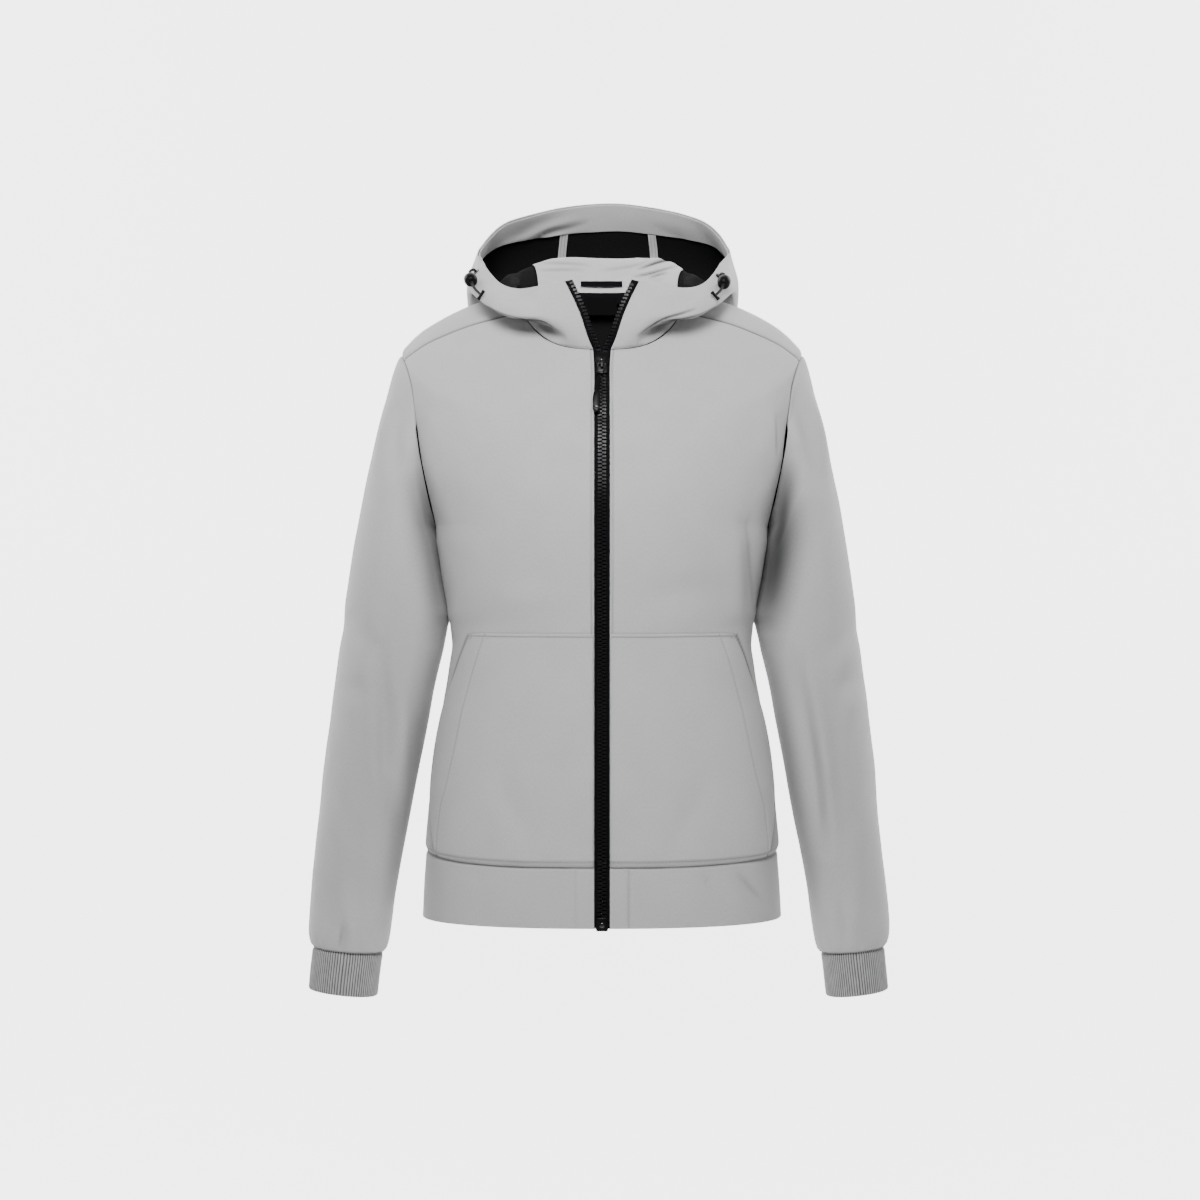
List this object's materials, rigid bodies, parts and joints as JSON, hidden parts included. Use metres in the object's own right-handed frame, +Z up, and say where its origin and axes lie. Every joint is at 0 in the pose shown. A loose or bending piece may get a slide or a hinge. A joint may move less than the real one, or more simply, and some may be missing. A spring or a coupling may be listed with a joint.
{
  "type": "women's hooded softshell jacket",
  "caption": "Softshell jacket filled out with no wearer: full front zip open at the neck, fallen hood, patch pockets, rib cuffs and a hem band.",
  "frame": {"origin": "centre of the neck opening, in line with the zip, where the wearer's neck holds the jacket", "axes": "+Z up the body, +X towards the wearer's left, +Y towards the wearer's back"},
  "size_m": [0.5982, 0.3259, 0.84],
  "materials": {
    "shell": "light grey bonded softshell, matt",
    "rib": "fine rib knit, matt",
    "black_cloth": "black tape, matt",
    "moulded": "black moulded plastic",
    "cord": "black round cord"
  },
  "bodies": {
    "garment": {"front_left": "shell", "front_right": "shell", "back": "shell", "hem_band": "shell", "hem_tab_left": "shell", "hem_tab_right": "shell", "sleeve_left": "shell", "sleeve_right": "shell", "cuff_left": "rib", "cuff_right": "rib", "pocket_left": "shell", "pocket_right": "shell", "hood_side_left": "shell", "hood_centre": "shell", "hood_side_right": "shell", "hood_facing": "shell", "hood_band": "shell", "hood_tape_left": "shell", "hood_tape_right": "shell", "neck_tape": "black_cloth", "hanger_loop": "black_cloth", "label": "black_cloth", "zip_tape_left": "black_cloth", "zip_tape_right": "black_cloth", "zip_teeth_left": "moulded", "zip_teeth_right": "moulded", "zip_slider": "moulded", "zip_box": "moulded", "drawcord_left": "cord", "drawcord_right": "cord", "eyelet_left": "moulded", "eyelet_right": "moulded", "cord_lock_left": "moulded", "cord_lock_right": "moulded", "cord_end_left": "moulded", "cord_end_right": "moulded"},
    "pull": {"pull_link": "moulded", "pull_strap": "black_cloth", "pull_grip": "moulded"}
  },
  "joints": [
    {"name": "pull_hinge", "type": "hinge", "parent": "garment", "child": "pull", "pos_m": [0, -0.0981, -0.07474], "axis": [-1, 0, 0], "range_deg": [0, 140]}
  ]
}
